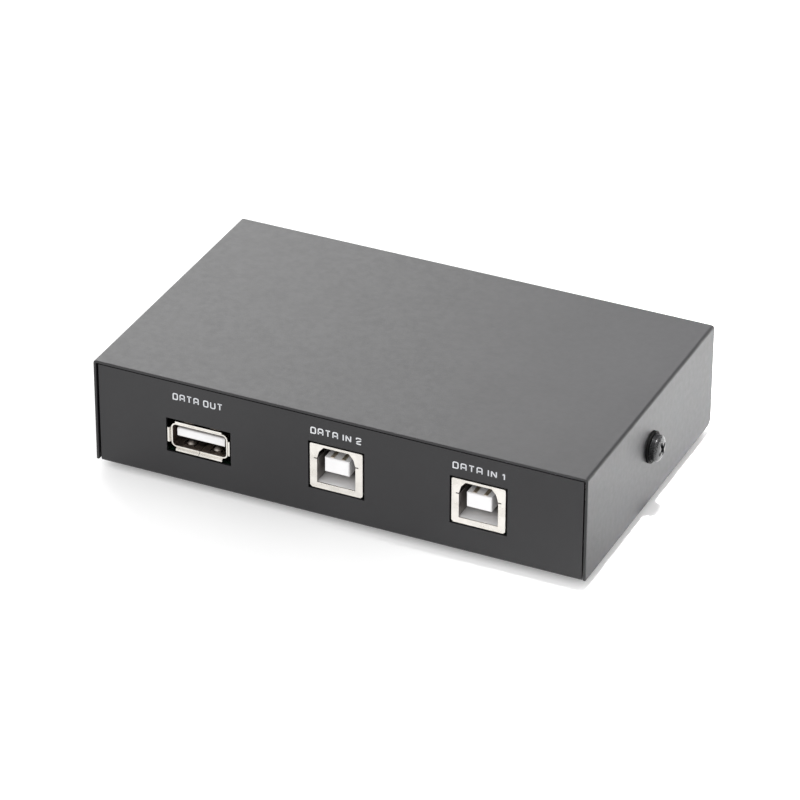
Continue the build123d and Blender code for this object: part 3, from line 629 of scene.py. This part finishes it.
def round_corners(points, radius, steps=5):
    """The line through points with each inner corner replaced by a quadratic arc of radius."""
    points = np.array(points, float)
    pieces = [points[:1]]
    share = np.linspace(0, 1, steps)[:, None]
    for before, corner, after in zip(points[:-2], points[1:-1], points[2:]):
        inward = (before - corner) / np.linalg.norm(before - corner)
        outward = (after - corner) / np.linalg.norm(after - corner)
        start = corner + inward * min(radius, np.linalg.norm(before - corner) / 2)
        end = corner + outward * min(radius, np.linalg.norm(after - corner) / 2)
        pieces.append((1 - share) ** 2 * start + 2 * share * (1 - share) * corner + share**2 * end)
    pieces.append(points[-1:])
    return np.concatenate(pieces)


def ribbon(line, width):
    """Left and right edges of a ribbon: each point moves half a width along its mitre."""
    step = np.diff(line, axis=0)
    step /= np.linalg.norm(step, axis=1)[:, None]
    closed = np.allclose(line[0], line[-1])
    before = np.vstack([step[-1:] if closed else step[:1], step])
    after = np.vstack([step, step[:1] if closed else step[-1:]])
    along = before + after
    along /= np.linalg.norm(along, axis=1)[:, None]
    side = np.stack([-along[:, 1], along[:, 0]], axis=1)
    cosine = np.sum(along * after, axis=1)[:, None]
    offset = side * (width / 2) / np.clip(cosine, 0.5, 1)
    return line + offset, line - offset


CELL_SHARE = 0.66
CORNER_SHARE = 0.3
INK_THICKNESS = 0.03 * MM
INK_MERGE = 0.0001 * MM


def print_text(name, text, centre, right_way, face, width, height, stroke, gap, space):
    """White lettering on a flat face: strokes are ribbons, raised by the ink's thickness."""
    pens, pen = [], 0.0
    cell = CELL_SHARE * height
    for letter in text:
        if letter == " ":
            pen += space
            continue
        share, strokes = LETTERS[letter]
        pens.append((pen, strokes))
        pen += share * cell + stroke + gap
    total = pen - gap
    squeeze = (width - stroke) / (total - stroke)
    verts, faces = [], []
    count = 0
    for start, strokes in pens:
        for points in strokes:
            corners = np.array(points) * (cell * squeeze, height - stroke)
            line = round_corners(corners, CORNER_SHARE * cell)
            line += (start * squeeze - (width - stroke) / 2, -(height - stroke) / 2)
            left_edge, right_edge = ribbon(line, stroke)
            rails = [left_edge, right_edge, right_edge, left_edge]
            lifts = [INK_THICKNESS, INK_THICKNESS, -INK_THICKNESS, -INK_THICKNESS]
            for rail, lift in zip(rails, lifts):
                spots = (
                    np.array(centre)
                    + rail[:, :1] * np.array(right_way)
                    + rail[:, 1:] * np.array((0, 0, 1))
                    + lift * np.array(face)
                )
                verts.append(spots)
            size = len(line)
            index = count + np.arange(4 * size).reshape(4, size)
            closed = np.allclose(line[0], line[-1])
            for rail in range(4):
                a, b = index[rail], index[(rail + 1) % 4]
                faces += np.stack([a[:-1], a[1:], b[1:], b[:-1]], axis=1).tolist()
            if not closed:
                faces += [index[::-1, 0].tolist(), index[:, -1].tolist()]
            count += 4 * size
    mesh = closed_mesh(name, np.concatenate(verts).tolist(), faces, ink, INK_MERGE)
    piece = bpy.data.objects.new(name, mesh)
    bpy.context.collection.objects.link(piece)
    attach(piece, "case")
    print(name, "is", round(width / MM, 2), "mm wide")


# %% Print the captions
CAPTION_HEIGHT = 19.75 * MM
ink = moulded("white_ink", (0.56, 0.57, 0.60), (0.70, 0.71, 0.73), 0.5, 0.62, 0.12 * MM, 0.002 * MM)
caption_z = cover_low[2] + CAPTION_HEIGHT
captions = {
    "caption_outlet": ("DATA OUT", "outlet_shell"),
    "caption_inlet_2": ("DATA IN 2", "inlet_shell_2"),
    "caption_inlet_1": ("DATA IN 1", "inlet_shell_1"),
}
for name, (text, port) in captions.items():
    port_low, port_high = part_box(port)
    port_x = (port_low[0] + port_high[0]) / 2
    print_text(
        name, text, (port_x, panel_low[1], caption_z), (1, 0, 0), (0, -1, 0),
        width=11.6 * MM, height=1.62 * MM, stroke=0.27 * MM, gap=0.42 * MM, space=0.70 * MM,
    )

# %% Print the button's marks
MARK_DISTANCE = 10.5 * MM
button_low, button_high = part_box("button_cap")
for number, side in (("1", 1), ("2", -1)):
    print_text(
        f"mark_{number}", number,
        (side * MARK_DISTANCE, panel_high[1], (button_low[2] + button_high[2]) / 2),
        (-1, 0, 0), (0, 1, 0),
        width=(0.9 if number == "1" else 2.0) * MM, height=2.6 * MM, stroke=0.42 * MM,
        gap=0, space=0,
    )
